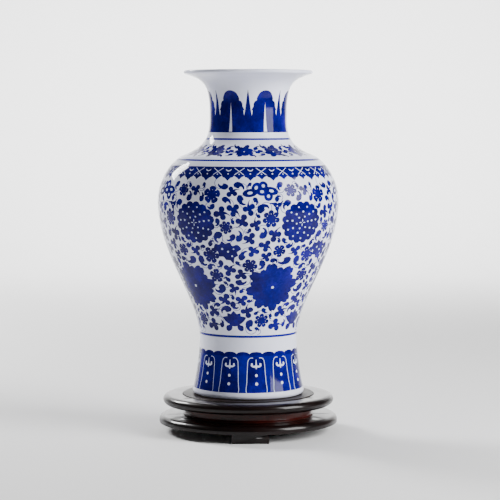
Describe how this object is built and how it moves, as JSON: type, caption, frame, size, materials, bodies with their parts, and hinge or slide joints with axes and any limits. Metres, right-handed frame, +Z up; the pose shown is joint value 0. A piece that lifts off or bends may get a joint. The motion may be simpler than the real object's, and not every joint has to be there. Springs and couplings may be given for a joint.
{
  "type": "porcelain vase on a wooden stand",
  "caption": "Tall blue-and-white porcelain vase with flared mouth, high round shoulder and narrow foot, resting on a round two-tier dark wooden stand; it is displayed or holds flowers.",
  "frame": {"origin": "centre of the three feet on the ground, under the vase's axis", "axes": "+Z up along the vase's axis, -Y towards the front foot"},
  "size_m": [0.196, 0.196, 0.3913],
  "materials": {
    "glazed_porcelain": "clear gloss glaze over cobalt-blue painting",
    "dark_lacquered_wood": "near-black stain under gloss lacquer",
    "red_brown_wood": "dark red-brown stain under gloss lacquer",
    "plain_wood": "planed and unfinished, hidden inside"
  },
  "bodies": {
    "stand": {"seat_panel": "dark_lacquered_wood", "panel_batten": "plain_wood", "top_rim_segment_1": "dark_lacquered_wood", "top_rim_segment_2": "dark_lacquered_wood", "top_rim_segment_3": "dark_lacquered_wood", "top_rim_splines": "plain_wood", "waist_segment_1": "red_brown_wood", "waist_segment_2": "red_brown_wood", "waist_segment_3": "red_brown_wood", "upper_waist_dowels": "plain_wood", "lower_waist_dowels": "plain_wood", "lower_rim_segment_1": "dark_lacquered_wood", "lower_rim_segment_2": "dark_lacquered_wood", "lower_rim_segment_3": "dark_lacquered_wood", "lower_rim_splines": "plain_wood", "stand_foot_1": "dark_lacquered_wood", "stand_foot_2": "dark_lacquered_wood", "stand_foot_3": "dark_lacquered_wood", "stand_foot_dowels": "plain_wood"},
    "vase": {"vase_foot": "glazed_porcelain", "vase_lower_body": "glazed_porcelain", "vase_upper_body": "glazed_porcelain", "vase_neck": "glazed_porcelain"}
  },
  "joints": [
    {"name": "vase_lift", "type": "slide", "parent": "stand", "child": "vase", "axis": [0, 0, 1], "range_m": [0, 0.06]}
  ]
}
